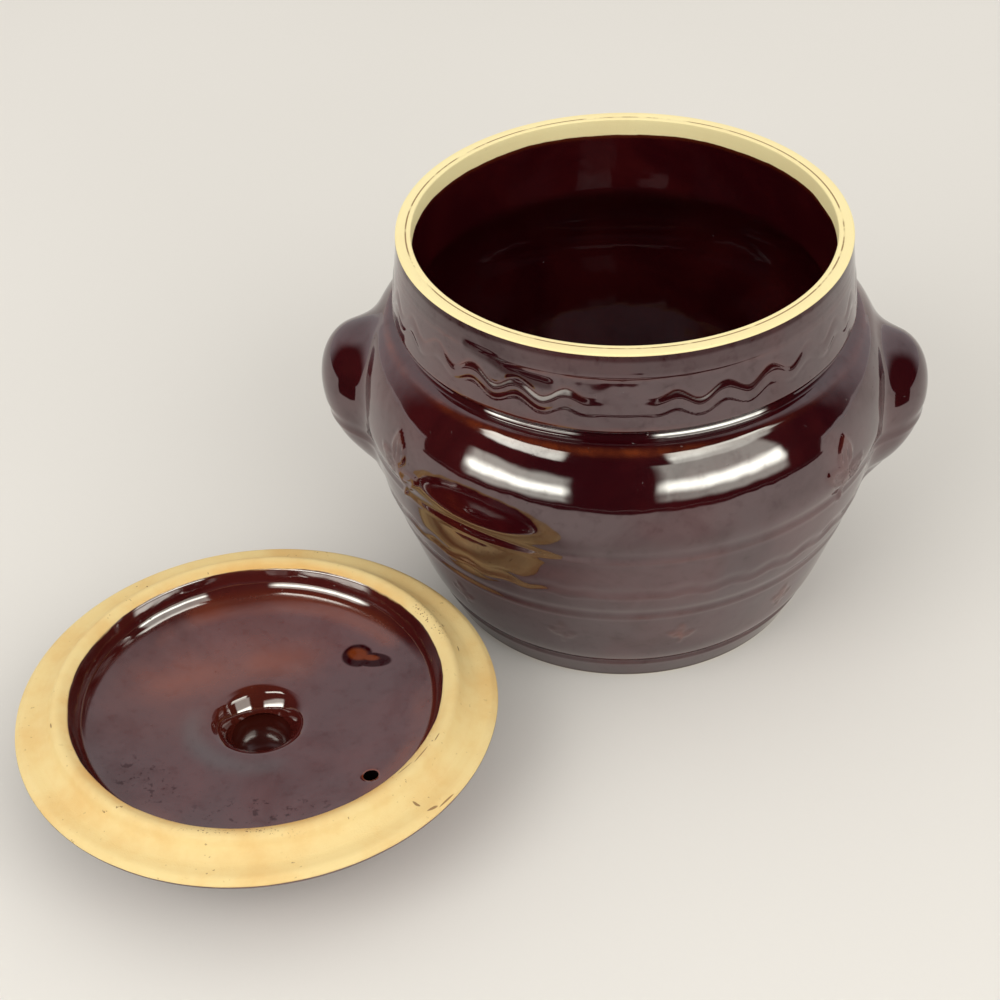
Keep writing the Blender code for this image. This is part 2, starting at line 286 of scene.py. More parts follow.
# Soft changes on the pot: radius or height where each starts and is full, and how much it counts
BARE_TOP = (POT_HEIGHT - RIM_ROUND - 0.15, POT_HEIGHT - RIM_ROUND + 0.10)
BARE_BAND = (POT_HEIGHT - 6.7, POT_HEIGHT - 6.4)
BARE_BASE = (0.30, 0.10)
AMBER_FRINGE = (POT_HEIGHT - 8.6, POT_HEIGHT - 6.6, 0.30)
# Gloss cut round the band line and under the rim's outer edge: a painted dark reflection
PAINTED_REFLECTION_BAND = (POT_HEIGHT - 10.0, POT_HEIGHT - 6.5, 0.25)
PAINTED_REFLECTION_EDGE = (POT_HEIGHT - 3.6, POT_HEIGHT - 2.2, 0.45)
INSIDE_MOUTH = (MOUTH_R + 1.2, MOUTH_R + 0.6)
OUTSIDE_RIM = (RIM_R - 1.5, RIM_R - 0.7)
RIM_LINE_STAIN = (0.42, 0.12, 0.9)

# The same on the lid, and the rings round its steam hole: wider than the hole by, edge, and count. The
# first ring is the hole's wall, where shade is painted
BARE_LIP = (DISH_LIP_R - 0.1, DISH_LIP_R + 0.3)
BARE_EDGE = (SEAT_Z - EDGE_THICK + 2.3, SEAT_Z - EDGE_THICK + 2.7)
BARE_EDGE_WANDER = 0.4
STAIN = (DISH_LIP_R + 4.0, DISH_LIP_R + 0.3)
LOW_DOWN = (SEAT_Z - 1.0, LID_FLOOR_Z + 1.0)
OVER_FLOOR = (LID_FLOOR_Z - 1.0, LID_FLOOR_Z)
ON_WALL = (DISH_FLAT_R - 2.0, DISH_FLAT_R + 4.0)
CORNER_OUT = (DISH_FLAT_R + 1.0, DISH_FLAT_R + 3.0)
CORNER_IN = (DISH_LIP_R - 3.4, DISH_LIP_R - 5.0)
CORNER_ROUGHER = 0.45
HOLLOW_TOP = (17.6, 16.4)
HOLLOW_SIDE = (HOLLOW_R + 1.6, HOLLOW_R + 0.8)
# Cut gloss inside the knob's hollow, as painted shade in the recess
HOLLOW_PAINTED_SHADE = 0.55
HOLLOW_ROUGHER = 0.35
SCUM_OUT = 6.5
SCUM_RING = (7.0, 0.0, 0.48)
HOLE_SHADE_RING = (0.1, 0.02, 1.0)
HOLE_LIP = (0.8, 0.15, 0.6)

# Marks on the lid: place from its axis, half length and half width in millimetres, lean in degrees,
# how ragged it is, the values where its edge starts and is full, and how much it counts
CLOUDS = ((-31, 19, 40, 20, 24, 1.0, 0.0, 1.1, 0.40), (2, 29, 26, 12, 14, 1.0, 0.0, 1.1, 0.40))
WARMTH = ((-26, 20, 62, 46, 30, 0.5, 0.0, 1.1, 0.24),)
# The comma's dark colour and cut gloss are a painted reflection of something dark; its heart keeps the
# glaze's amber
COMMA = ((32, 32, 6.8, 6.0, -40, 0.6, 0.0, 0.18), (37.5, 29.8, 9.0, 4.0, -10, 0.5, 0.0, 0.18))
COMMA_PAINTED_REFLECTION = 0.85
COMMA_HEART = ((32, 33, 5.2, 3.6, -25, 1.2, 0.0, 0.45, 0.55), (37, 31, 4.5, 1.8, -12, 0.8, 0.0, 0.5, 0.55))
SCUM = ((-16, -14, 34, 26, -30, 1.0, 0.0, 0.6),)
FLECKS = ((-36, -32, 22, 12, -35, 1.0, 0.0, 0.55), (4, -46, 34, 9, 3, 1.0, 0.0, 0.55))
FLECKS_DARK = 0.7
FLECKS_DULL = 0.45
DIRT = ((2, -68, 26, 3, 0, 0.6, 0.0, 0.5, 0.9), (58, 38, 20, 3, -56, 0.6, 0.0, 0.5, 0.9))

# Chips and short cracks in the lid's bare clay: place, half length, half width, lean; one edge for all
CHIPS = (
    (60.5, -49.5, 1.76, 0.60, -30),
    (66.0, -51.0, 2.56, 0.48, 40),
    (70.5, -46.5, 4.80, 0.30, 55),
    (56.0, -38.5, 4.40, 0.30, 50),
    (61.0, -32.5, 5.20, 0.27, 62),
    (66.0, -24.0, 2.40, 0.24, 70),
    (70.0, 26.0, 2.08, 0.27, 105),
    (63.5, 38.0, 1.28, 0.30, 120),
    (-69.0, -20.0, 1.44, 0.30, 110),
)
CHIP_EDGE = (0.8, 0.15, 0.40, 0.85)

# Camera of the photograph
CAMERA_AT = (0.0, -681.79, 573.76)
CAMERA_YAW = radians(-4.069)
CAMERA_PITCH = radians(38.603)
CAMERA_ROLL = radians(-2.244)
CAMERA_LENS = 79.2
CAMERA_SENSOR = 36.0


def curve(knots, steps=FINE_STEPS):
    """Catmull-Rom curve through the knots, with this many steps for each span."""
    padded = [knots[0]] + list(knots) + [knots[-1]]
    points = []
    for before, start, end, after in zip(padded, padded[1:], padded[2:], padded[3:]):
        for step in range(steps):
            t = step / steps
            weights = (
                -0.5 * t + t * t - 0.5 * t ** 3,
                1.0 - 2.5 * t * t + 1.5 * t ** 3,
                0.5 * t + 2.0 * t * t - 1.5 * t ** 3,
                -0.5 * t * t + 0.5 * t ** 3,
            )
            four = (before, start, end, after)
            points.append(tuple(sum(w * p[axis] for w, p in zip(weights, four)) for axis in (0, 1)))
    return points + [tuple(knots[-1])]


def spaced(points, gap):
    """The same line with its points about this far apart."""
    line = np.array(points)
    along = np.concatenate(([0.0], np.cumsum(np.hypot(*np.diff(line, axis=0).T))))
    count = max(int(round(along[-1] / gap)), 1)
    wanted = np.linspace(0.0, along[-1], count + 1)
    return [tuple(p) for p in np.column_stack([np.interp(wanted, along, line[:, i]) for i in (0, 1)])]


def arc(middle, radius, start, end):
    """Points on an arc, angles from the outward direction."""
    angles = [start + (end - start) * step / ARC_STEPS for step in range(ARC_STEPS + 1)]
    return [(middle[0] + radius * cos(a), middle[1] + radius * sin(a)) for a in angles]


def inset(knots, depth):
    """The inner knots of an outline that runs up, moved toward its axis side."""
    moved = []
    for before, here, after in zip(knots, knots[1:], knots[2:]):
        run = (after[0] - before[0], after[1] - before[1])
        length = hypot(*run)
        moved.append((here[0] - depth * run[1] / length, here[1] + depth * run[0] / length))
    return moved


WALL_OUTSIDE = np.array(curve(BODY_KNOTS))


def wall_radius(z):
    """Radius of the body's outside at some heights."""
    return np.interp(z, WALL_OUTSIDE[:, 1], WALL_OUTSIDE[:, 0])


def collar_radius(z):
    """Radius of the collar's outside at some heights."""
    foot_z = COLLAR_Z + COLLAR_ROUND
    return np.interp(z, (foot_z, BAND_LINE_Z - BAND_LINE_WIDE / 2), (COLLAR_R, BAND_R))


def foot_outline():
    """Outline from the middle of the base to the foot's line."""
    return [
        *spaced([(0.0, 0.0), (FOOT_R - FOOT_ROUND, 0.0)], HIDDEN_GAP),
        *arc((FOOT_R - FOOT_ROUND, FOOT_ROUND), FOOT_ROUND, -pi / 2, 0.0)[1:],
        *spaced([(FOOT_R, FOOT_ROUND), (FOOT_LINE_R, FOOT_LINE_Z - FOOT_LINE_WIDE / 2)], WALL_GAP)[1:],
        *((FOOT_LINE_R + FOOT_LINE_DEEP * out, FOOT_LINE_Z + FOOT_LINE_WIDE * up)
          for out, up in FOOT_LINE_SHARES),
    ]


def hidden_outline(depth):
    """Line inside the wall's thickness, from under the collar to the middle of the base."""
    wall = inset(BODY_KNOTS, depth)[::-1]
    top = (UNDERCUT_R - depth, UNDERCUT_Z)
    floor_z = POT_FLOOR / 2 + depth - POT_WALL / 2
    line = curve([top] + wall + [(wall[-1][0] - FLOOR_FILLET, floor_z)])
    return spaced(line, HIDDEN_GAP) + spaced([line[-1], (0.0, floor_z)], 2 * HIDDEN_GAP)[1:]


def wall_outline():
    """Outline of the pot's outer half: base, foot, body, and the line inside the wall."""
    slope = (LEDGE_Z - UNDERCUT_Z) / (LEDGE_R - UNDERCUT_R)
    hollow = [(r, LEDGE_Z + (r - LEDGE_R) * slope - sag) for r, sag in LEDGE_R_AND_SAG]
    ledge = spaced(curve([(LEDGE_R, LEDGE_Z), *hollow, (UNDERCUT_R, UNDERCUT_Z)], 8), 0.5 * WALL_GAP)[1:]
    hidden = hidden_outline(POT_WALL / 2 - HIDDEN_SPLIT)
    return foot_outline() + spaced(WALL_OUTSIDE, WALL_GAP) + ledge + hidden


def collar_outline():
    """Outline from under the collar over its edge, the thin groove and the flat rim."""
    edge = curve([
        (UNDERCUT_R, UNDERCUT_Z),
        *((COLLAR_R - inward, COLLAR_Z + up) for inward, up in COLLAR_EDGE_IN_AND_UP),
        (COLLAR_R, COLLAR_Z + COLLAR_ROUND),
        (float(collar_radius(COLLAR_Z + 3 * COLLAR_ROUND)), COLLAR_Z + 3 * COLLAR_ROUND),
    ])
    half = BAND_LINE_WIDE / 2
    face = spaced([edge[-1], (BAND_R, BAND_LINE_Z - half)], COLLAR_GAP)
    groove = curve([(BAND_R - BAND_LINE_DEEP * inward, BAND_LINE_Z + half * up)
                    for inward, up in BAND_LINE_SHARES], 4)
    rim = spaced([groove[-1], (RIM_R, POT_HEIGHT - RIM_ROUND)], COLLAR_GAP)[:-1]
    rim += arc((RIM_R - RIM_ROUND, POT_HEIGHT - RIM_ROUND), RIM_ROUND, 0.0, pi / 2)
    line_r = MOUTH_R + RIM_LINE_IN
    top = [(line_r + out, POT_HEIGHT - RIM_LINE_DEEP * down) for out, down in RIM_LINE_SHARES]
    return spaced(edge, COLLAR_GAP)[:-1] + face[:-1] + groove[:-1] + rim + top


def liner_outline():
    """Outline of the pot's inner half: the line inside the wall, collar, rim and inside."""
    inner_rim = arc((MOUTH_R + RIM_INSIDE_ROUND, POT_HEIGHT - RIM_INSIDE_ROUND), RIM_INSIDE_ROUND,
                    pi / 2, pi)
    wall = inset(BODY_KNOTS, POT_WALL)
    neck = [(MOUTH_R, UNDERCUT_Z)] + wall[::-1] + [(wall[0][0] - FLOOR_FILLET, POT_FLOOR)]
    straight = spaced([inner_rim[-1], (MOUTH_R, UNDERCUT_Z)], 4 * COLLAR_GAP)[1:-1]
    inside = spaced(curve(neck), INSIDE_GAP)
    floor = spaced([inside[-1], (0.0, POT_FLOOR)], HIDDEN_GAP)[1:]
    hidden = hidden_outline(POT_WALL / 2 + HIDDEN_SPLIT)
    return hidden[::-1] + collar_outline() + inner_rim + straight + inside + floor


def dome(r):
    """Height of the lid's outside, which faces down here."""
    run = LID_R - EDGE_ROUND_OUTSIDE - DOME_FLAT_R
    share = max(r - DOME_FLAT_R, 0.0) / run
    return KNOB_TALL + DOME_RISE * share ** DOME_POWER


def lid_outline():
    """Outline of the lid: knob, dome, edge, seat, locating ring, dish, funnel and hollow."""
    knob = curve([*KNOB_KNOTS, (DOME_START_R, dome(DOME_START_R))])
    dome_end = LID_R - EDGE_ROUND_OUTSIDE
    reach = np.arange(DOME_START_R, dome_end, LID_GAP)
    under = [(float(r), dome(float(r))) for r in reach]
    edge = curve([
        (dome_end, dome(dome_end)),
        (LID_R, SEAT_Z - EDGE_WIDEST_DOWN),
        (LID_R - EDGE_ROUND_SEAT, SEAT_Z),
    ])
    ring = curve([
        (RING_R + RING_FILLET, SEAT_Z),
        *((RING_R - inward, RING_TOP_Z - down) for inward, down in RING_IN_AND_DOWN),
        (DISH_LIP_R, LIP_Z),
    ])
    dish = curve([
        (DISH_LIP_R, LIP_Z),
        *((DISH_LIP_R - inward, LIP_Z - down) for inward, down in DISH_EASE_IN_AND_DOWN),
        (DISH_FLAT_R, dome(DISH_FLAT_R) + LID_WALL),
    ])
    back = np.arange(DISH_FLAT_R, FUNNEL_R, -LID_GAP)
    floor = [(float(r), dome(float(r)) + LID_WALL) for r in back]
    funnel = curve([
        (FUNNEL_R, LID_FLOOR_Z),
        *((FUNNEL_R - inward, LID_FLOOR_Z - down) for inward, down in FUNNEL_IN_AND_DOWN),
        (THROAT_R, LID_FLOOR_Z - THROAT_DOWN),
    ])
    turn = [pi / 2 * step / FINE_STEPS for step in range(FINE_STEPS + 1)]
    bottom = spaced([(HOLLOW_R - HOLLOW_ROUND * (1.0 - cos(a)),
                      KNOB_END_WALL + HOLLOW_ROUND * (1.0 - sin(a))) for a in turn]
                    + [(0.0, KNOB_END_WALL)], LID_GAP)
    parts = (
        spaced([(0.0, 0.0), KNOB_KNOTS[0]], LID_GAP),
        spaced(knob, LID_GAP),
        under,
        spaced(edge, 0.5 * LID_GAP),
        spaced([edge[-1], ring[0]], LID_GAP),
        spaced(ring, 0.7 * LID_GAP),
        spaced(dish, 0.7 * LID_GAP),
        floor,
        spaced(funnel, 0.6 * LID_GAP),
        bottom,
    )
    line = []
    for point in (point for part in parts for point in part):
        if not line or hypot(point[0] - line[-1][0], point[1] - line[-1][1]) > LEAST_GAP:
            line.append(point)
    return line


# Node helpers

def link_or_set(socket, value):
    """Connect a socket to another one or set it."""
    if isinstance(value, bpy.types.NodeSocket):
        socket.id_data.links.new(value, socket)
    else:
        socket.default_value = value


def node(tree, kind, inputs=None, **settings):
    """A new node with its settings and inputs."""
    made = tree.nodes.new(kind)
    for name, value in settings.items():
        setattr(made, name, value)
    for name, value in (inputs or {}).items():
        link_or_set(made.inputs[name], value)
    return made


def tree_of(values):
    """The node tree of the first socket among some values."""
    return next(value.id_data for value in values if isinstance(value, bpy.types.NodeSocket))


def maths(operation, *values, clamp=False):
    """Output of a Math node for values of which one is a socket."""
    made = node(tree_of(values), "ShaderNodeMath", dict(enumerate(values)), operation=operation,
                use_clamp=clamp)
    return made.outputs[0]


def chain(operation, first, others):
    """Values joined one after another by a Math operation."""
    for other in others:
        first = maths(operation, first, other)
    return first


def product(first, *others):
    """Several values multiplied together."""
    return chain("MULTIPLY", first, others)


def total(first, *others):
    """Several values added up."""
    return chain("ADD", first, others)


def largest(first, *others):
    """The largest of several values."""
    return chain("MAXIMUM", first, others)


def difference(first, second):
    """One value less another."""
    return maths("SUBTRACT", first, second)


def smooth_step(value, low, high, most=1.0):
    """0 below low and most above high, or the other way round with low over high."""
    made = node(value.id_data, "ShaderNodeMapRange", {0: value, 1: low, 2: high, 3: 0.0, 4: most},
                interpolation_type="SMOOTHSTEP")
    return made.outputs[0]


def new_geometry_tree(name, *inputs):
    """Empty Geometry Nodes tree with geometry in and out, a material and these named inputs."""
    tree = bpy.data.node_groups.new(name, "GeometryNodeTree")
    for label, kind in (("Geometry", "Geometry"), *inputs, ("Material", "Material")):
        tree.interface.new_socket(label, in_out="INPUT", socket_type="NodeSocket" + kind)
    tree.interface.new_socket("Geometry", in_out="OUTPUT", socket_type="NodeSocketGeometry")
    return tree, tree.nodes.new("NodeGroupInput"), tree.nodes.new("NodeGroupOutput")


def finish_tree(tree, geometry, given, made):
    """End a tree with plain geometry in its one material."""
    real = node(tree, "GeometryNodeRealizeInstances", {0: geometry}).outputs[0]
    coated = node(tree, "GeometryNodeSetMaterial",
                  {"Geometry": real, "Material": given.outputs["Material"]}).outputs[0]
    tree.links.new(coated, made.inputs[0])
    return tree


def lathe_tree():
    """Turns an outline in the XZ plane into a closed body round Z."""
    tree, given, made = new_geometry_tree("lathe", ("Sides", "Int"))
    outline = given.outputs["Geometry"]
    sides = given.outputs["Sides"]
    rows = node(tree, "GeometryNodeAttributeDomainSize", {0: outline}).outputs["Point Count"]
    grid = node(tree, "GeometryNodeMeshGrid", {
        "Size X": 1.0,
        "Size Y": 1.0,
        "Vertices X": total(sides, 1.0),
        "Vertices Y": rows,
    }).outputs["Mesh"]
    index = node(tree, "GeometryNodeInputIndex").outputs[0]
    column = maths("FLOOR", maths("DIVIDE", index, rows))
    sample = node(tree, "GeometryNodeSampleIndex", data_type="FLOAT_VECTOR", domain="POINT")
    link_or_set(sample.inputs["Geometry"], outline)
    link_or_set(sample.inputs["Value"], node(tree, "GeometryNodeInputPosition").outputs[0])
    link_or_set(sample.inputs["Index"], difference(index, product(column, rows)))
    split = node(tree, "ShaderNodeSeparateXYZ", {0: sample.outputs["Value"]}).outputs
    turn = product(maths("DIVIDE", column, sides), 2 * pi)
    spot = node(tree, "ShaderNodeCombineXYZ", {
        "X": product(split["X"], maths("COSINE", turn)),
        "Y": product(split["X"], maths("SINE", turn)),
        "Z": split["Z"],
    }).outputs[0]
    moved = node(tree, "GeometryNodeSetPosition", {"Geometry": grid, "Position": spot}).outputs[0]
    merged = node(tree, "GeometryNodeMergeByDistance",
                  {"Geometry": moved, "Distance": MERGE_WITHIN}).outputs[0]
    smooth = node(tree, "GeometryNodeSetShadeSmooth", {0: merged}).outputs[0]
    return finish_tree(tree, smooth, given, made)


def relief_tree():
    """Raises or sinks a surface along lines and marks how thin its glaze is there."""
    tree, given, made = new_geometry_tree("relief", ("Lines", "Object"), ("Half Width", "Float"),
                                          ("Height", "Float"), ("Thin", "Float"))
    lines = node(tree, "GeometryNodeObjectInfo", {"Object": given.outputs["Lines"]}).outputs["Geometry"]
    near = node(tree, "GeometryNodeProximity", {0: lines}, target_element="EDGES").outputs["Distance"]
    share = smooth_step(near, given.outputs["Half Width"], 0.0)
    normal = node(tree, "GeometryNodeInputNormal").outputs[0]
    push = node(tree, "ShaderNodeVectorMath",
                {0: normal, "Scale": product(share, given.outputs["Height"])},
                operation="SCALE").outputs[0]
    before = node(tree, "GeometryNodeInputNamedAttribute", {"Name": "thin"},
                  data_type="FLOAT").outputs["Attribute"]
    after = total(before, product(share, given.outputs["Thin"]))
    marked = node(tree, "GeometryNodeStoreNamedAttribute",
                  {"Geometry": given.outputs["Geometry"], "Name": "thin", "Value": after},
                  data_type="FLOAT", domain="POINT").outputs[0]
    moved = node(tree, "GeometryNodeSetPosition", {"Geometry": marked, "Offset": push}).outputs[0]
    return finish_tree(tree, moved, given, made)


def keep_result(thing, step):
    """Give an object the mesh that its modifier makes."""
    bpy.context.view_layer.update()
    seen = thing.evaluated_get(bpy.context.evaluated_depsgraph_get())
    mesh = bpy.data.meshes.new_from_object(seen)
    thing.modifiers.remove(step)
    old = thing.data
    thing.data = mesh
    bpy.data.meshes.remove(old)
    mesh.name = thing.name


def run_tree(thing, tree, values):
    """Apply a Geometry Nodes tree to an object."""
    step = thing.modifiers.new(tree.name, "NODES")
    step.node_group = tree
    for item in tree.interface.items_tree:
        if item.in_out == "INPUT" and item.name in values:
            step[item.identifier] = values[item.name]
    keep_result(thing, step)


def add_object(name, data):
    """A named object in the scene."""
    made = bpy.data.objects.new(name, data)
    bpy.context.scene.collection.objects.link(made)
    return made


def lines_object(name, paths):
    """Loose lines through points in millimetres."""
    points = []
    edges = []
    for path in paths:
        start = len(points)
        points.extend(path)
        edges.extend((start + i, start + i + 1) for i in range(len(path) - 1))
    mesh = bpy.data.meshes.new(name)
    mesh.from_pydata([tuple(v * MM for v in p) for p in points], edges, [])
    return add_object(name, mesh)


def faces_out(thing):
    """Turn every face outward."""
    shape = bmesh.new()
    shape.from_mesh(thing.data)
    bmesh.ops.recalc_face_normals(shape, faces=shape.faces)
    shape.to_mesh(thing.data)
    shape.free()


def coat(piece, finish):
    """Give every face of a piece the one finish."""
    mesh = piece.data
    mesh.materials.clear()
    mesh.materials.append(finish)
    mesh.polygons.foreach_set("material_index", np.zeros(len(mesh.polygons), dtype=np.int32))


def turned(name, outline, sides, finish):
    """A closed body turned from an outline of radius and height."""
    piece = lines_object(name, [[(r, 0.0, z) for r, z in outline]])
    run_tree(piece, LATHE, {"Sides": sides, "Material": finish})
    faces_out(piece)
    return piece


def relief(piece, paths, line, finish):
    """Press or raise a line on a piece along paths."""
    half_width, height, thin = line
    lines = lines_object("lines", paths)
    run_tree(piece, RELIEF, {
        "Lines": lines,
        "Half Width": half_width * MM,
        "Height": height * MM,
        "Thin": thin,
        "Material": finish,
    })
    bpy.data.objects.remove(lines, do_unlink=True)


# Handles and relief lines

def lobe_distance(r, turn, up):
    """About how far points lie outside a lug's lobe whose middle is at height 0."""
    out = r * np.cos(turn) - LUG_MID_R
    along = out * cos(LUG_LEAN) + up * sin(LUG_LEAN)
    across = -out * sin(LUG_LEAN) + up * cos(LUG_LEAN)
    sideways = r * np.sin(turn)
    parts = ((along, LUG_LONG), (sideways, LUG_HALF_WIDTH), (across, LUG_DEEP))
    ratio = np.sqrt(sum((p / s) ** 2 for p, s in parts))
    slope = np.sqrt(sum((p / s ** 2) ** 2 for p, s in parts))
    return ratio * (ratio - 1.0) / np.maximum(slope, 1e-9)


def with_lug(turn, z, wall):
    """Radius of the pot's outside with its lugs, found by halving."""
    radius = wall.copy()
    for middle_turn, rise in ((0.0, RIGHT_LUG_RISE), (pi, LEFT_LUG_RISE)):
        near = wall.copy()
        far = np.full_like(wall, LUG_MID_R + LUG_LONG + LUG_BLEND)
        for _ in range(HALVINGS):
            middle = (near + far) / 2
            to_wall = middle - wall
            to_lobe = lobe_distance(middle, turn - middle_turn, z - LUG_MID_Z - rise)
            mixed = np.maximum(LUG_BLEND - np.abs(to_wall - to_lobe), 0.0) / LUG_BLEND
            outside = np.minimum(to_wall, to_lobe) - mixed ** 2 * LUG_BLEND / 4 > 0
            far = np.where(outside, middle, far)
            near = np.where(outside, near, middle)
        radius = np.maximum(radius, near)
    return radius


def swell_lugs(piece):
    """Move the wall's outer vertices out over the two lugs."""
    mesh = piece.data
    spots = np.empty(len(mesh.vertices) * 3)
    mesh.vertices.foreach_get("co", spots)
    spots = spots.reshape(-1, 3) / MM
    r = np.hypot(spots[:, 0], spots[:, 1])
    z = spots[:, 2]
    skin = (z > FOOT_LINE_Z) & (z < UNDERCUT_Z) & (r > wall_radius(z) - LUG_SKIN)
    turn = np.arctan2(spots[skin, 1], spots[skin, 0])
    fade = np.clip((UNDERCUT_Z - z[skin]) / (UNDERCUT_Z - LEDGE_Z), 0.0, 1.0)
    grown = with_lug(turn, z[skin], r[skin])
    wanted = r[skin] + (grown - r[skin]) * fade
    spots[skin, :2] *= (wanted / r[skin])[:, None]
    mesh.vertices.foreach_set("co", (spots * MM).ravel())
    mesh.update()


def on_wall(turn, z):
    """Point on the body's outside, lugs included."""
    wall = np.array([wall_radius(z)])
    r = float(with_lug(np.array([turn]), np.array([z]), wall)[0])
    return (r * cos(turn), r * sin(turn), z)


def on_collar(turn, z):
    """Point on the collar's outside."""
    r = float(collar_radius(z))
    return (r * cos(turn), r * sin(turn), z)


def seam_calm(turn):
    """0 at the two seams of the mould and 1 away from them."""
    away = abs((turn - FRONT_SEAM + pi / 2) % pi - pi / 2)
    share = min(max((away - SEAM_CALM) / (SEAM_WAKE - SEAM_CALM), 0.0), 1.0)
    return share * share * (3.0 - 2.0 * share)


def wave(spot, z, swing, waves, crest, lift=0.0, steps=WAVE_STEPS):
    """Closed wavy line round the pot, lifted off the wall at the seams, where it fades."""
    points = []
    for i in range(steps + 1):
        turn = 2 * pi * i / steps
        calm = seam_calm(turn)
        x, y, height = spot(turn, z + swing * calm * cos(waves * (turn - crest)))
        out = lift * (1.0 - calm)
        points.append((x + out * cos(turn), y + out * sin(turn), height))
    return points


def ring(spot, z):
    """Closed level line round the pot."""
    return wave(spot, z, 0.0, 0, 0.0, steps=RING_STEPS)


def circle(r, z):
    """Closed level line at a fixed radius."""
    return ring(lambda turn, height: (r * cos(turn), r * sin(turn), height), z)


def seams(spot, heights):
    """The two upright seams of the mould."""
    return [[spot(turn, z) for z in heights] for turn in (FRONT_SEAM, FRONT_SEAM + pi)]


def leaf(turn, z, lean, length, half_width, radius):
    """Outline and midrib of one leaf on the wall."""
    rows = []
    for side in (1.0, -1.0):
        shares = [i / LEAF_STEPS for i in range(LEAF_STEPS + 1)]
        rows.append([(share * length, side * half_width * sin(pi * share ** LEAF_POWER))
                     for share in shares])
    rows.append([(share * length * MIDRIB_LONG, 0.0) for share in (0.15, 0.4, 0.7, 1.0)])
    paths = []
    for row in rows:
        spots = [(a * cos(lean) - b * sin(lean), a * sin(lean) + b * cos(lean)) for a, b in row]
        paths.append([on_wall(turn + x / radius, z + y) for x, y in spots])
    return paths


def sprig(turn, z, size):
    """Stem with a leaf at its tip and a pair of leaves below."""
    radius = float(wall_radius(z))
    paths = [[on_wall(turn + size * STEM_SWAY * sin(3.0 * share) / radius,
                      z - size * STEM_DOWN + size * STEM_LONG * share)
              for share in (0.0, 0.25, 0.5, 0.75, 1.0)]]
    for up, lean, length, half_width in SPRIG_LEAVES:
        paths += leaf(turn, z + size * up, radians(lean), size * length, size * half_width, radius)
    return paths


# Materials

def colour(value):
    """Colour with full cover, as a socket wants it."""
    return (*value, 1.0)


def mix(share, first, second):
    """Colour between two others."""
    made = node(tree_of((share, first, second)), "ShaderNodeMix", data_type="RGBA")
    link_or_set(made.inputs[0], share)
    for socket, value in ((made.inputs[6], first), (made.inputs[7], second)):
        link_or_set(socket, colour(value) if isinstance(value, tuple) else value)
    return made.outputs[2]


def noise(place, scale, detail=2.0, roughness=0.5, distortion=0.0):
    """Noise value between 0 and 1."""
    return node(place.id_data, "ShaderNodeTexNoise", {
        "Vector": place,
        "Scale": scale,
        "Detail": detail,
        "Roughness": roughness,
        "Distortion": distortion,
    }).outputs[0]


def patches(place, low, high, most, *pattern):
    """Noise made into soft patches, 0 below low and most above high."""
    return smooth_step(noise(place, *pattern), low, high, most)


def wander(place, swing, *pattern):
    """Noise to both sides of 0, which makes an edge wander."""
    return product(difference(noise(place, *pattern), 0.5), swing)


def ramp(value, start, end, most=1.0):
    """0 up to the start and most from the end on, both in millimetres."""
    return smooth_step(value, start * MM, end * MM, most)


def off_line(value, line):
    """Distance of a value from a line, given in millimetres."""
    return maths("ABSOLUTE", difference(value, line * MM))


def clay_colour(place, radius, stain):
    """Pale fired clay with clouds, fine turning rings, brown specks and a stain."""
    across = node(place.id_data, "ShaderNodeCombineXYZ", {"X": radius}).outputs[0]
    base = mix(patches(place, *CLAY_CLOUDS), CLAY_PALE, CLAY_WARM)
    base = mix(patches(across, *CLAY_RINGS), base, CLAY_WARM)
    base = mix(stain, base, CLAY_ORANGE)
    return mix(product(patches(place, *CLAY_SPECKS), patches(place, *CLAY_SPECKED)), base, CLAY_STAIN)


def fired_gloss(shader, place, bare, pool, dull, rougher):
    """Roughness and gloss of glaze and bare clay."""
    shader.inputs["IOR"].default_value = GLAZE_IOR
    shader.inputs["Specular Tint"].default_value = colour(GLOSS_TINT)
    gloss = total(product(noise(place, *GLOSS_NOISE), GLAZE_ROUGH_SWING), GLAZE_ROUGH)
    if rougher is not None:
        gloss = total(gloss, product(rougher, GLAZE_ROUGHER))
    rough = node(place.id_data, "ShaderNodeMix", {0: bare, 2: gloss, 3: CLAY_ROUGH}, data_type="FLOAT")
    link_or_set(shader.inputs["Roughness"], rough.outputs[0])
    mottle = total(patches(place, *MOTTLE_LARGE), patches(place, *MOTTLE_FINE))
    # Gloss is cut by mottling, by pools as a painted dark reflection, and by each look's dull mask, which
    # holds flecks, painted shade and painted reflections
    dulled = maths("ADD", total(mottle, product(pool, POOL_PAINTED_REFLECTION)), dull, clamp=True)
    earthy = difference(1.0, product(bare, CLAY_DULL))
    link_or_set(shader.inputs["Specular IOR Level"],
                product(difference(1.0, dulled), earthy, FULL_SPECULAR))


def new_material(name):
    """Empty node material, with its tree."""
    made = bpy.data.materials.new(name)
    made.use_nodes = True
    return made, made.node_tree


